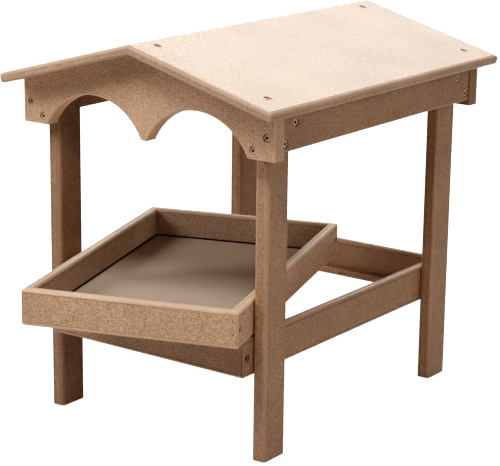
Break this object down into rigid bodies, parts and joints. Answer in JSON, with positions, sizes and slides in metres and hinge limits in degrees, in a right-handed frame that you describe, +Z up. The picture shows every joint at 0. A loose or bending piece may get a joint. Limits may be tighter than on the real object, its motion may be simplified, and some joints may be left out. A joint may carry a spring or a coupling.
{
  "type": "platform bird feeder",
  "caption": "Ground platform bird feeder of plastic boards: legs, a low frame, twin-arched gables, a shallow pitched roof and a loose screened seed tray lying askew on the frame.",
  "frame": {"origin": "middle of the front left foot's face, on the ground", "axes": "+X to the right seen from the front, +Y from the front gable to the back gable, +Z up"},
  "size_m": [0.4298, 0.6118, 0.4916],
  "materials": {
    "boards": "brown recycled plastic lumber with a fine stippled skin",
    "roof_boards": "the same plastic, sun side up and a shade lighter",
    "screen": "fine woven screen, matt bronze-taupe",
    "screws": "coated pan heads with a square recess",
    "brads": "dull plain ends, flush with the boards"
  },
  "bodies": {
    "shelter": {"leg_front_left": "boards", "leg_front_right": "boards", "leg_back_left": "boards", "leg_back_right": "boards", "base_rail_front": "boards", "base_rail_back": "boards", "base_rail_left": "boards", "base_rail_right": "boards", "tray_cleat_front": "boards", "tray_cleat_back": "boards", "gable_front": "boards", "gable_back": "boards", "eave_rail_left": "boards", "eave_rail_right": "boards", "roof_panel_left": "roof_boards", "roof_panel_right": "roof_boards", "leg_screws": "screws", "base_corner_screws": "screws", "cleat_brads": "brads", "gable_screws": "screws", "eave_rail_screws": "screws", "roof_screws": "screws"},
    "tray": {"tray_board_front": "boards", "tray_board_back": "boards", "tray_board_left": "boards", "tray_board_right": "boards", "tray_screen": "screen", "tray_corner_screws": "screws", "tray_brads": "brads"}
  },
  "joints": [
    {"name": "tray_slide", "type": "slide", "parent": "shelter", "child": "tray", "axis": [0.3107, -0.9505, 0], "range_m": [-0.075, 0.4]}
  ]
}
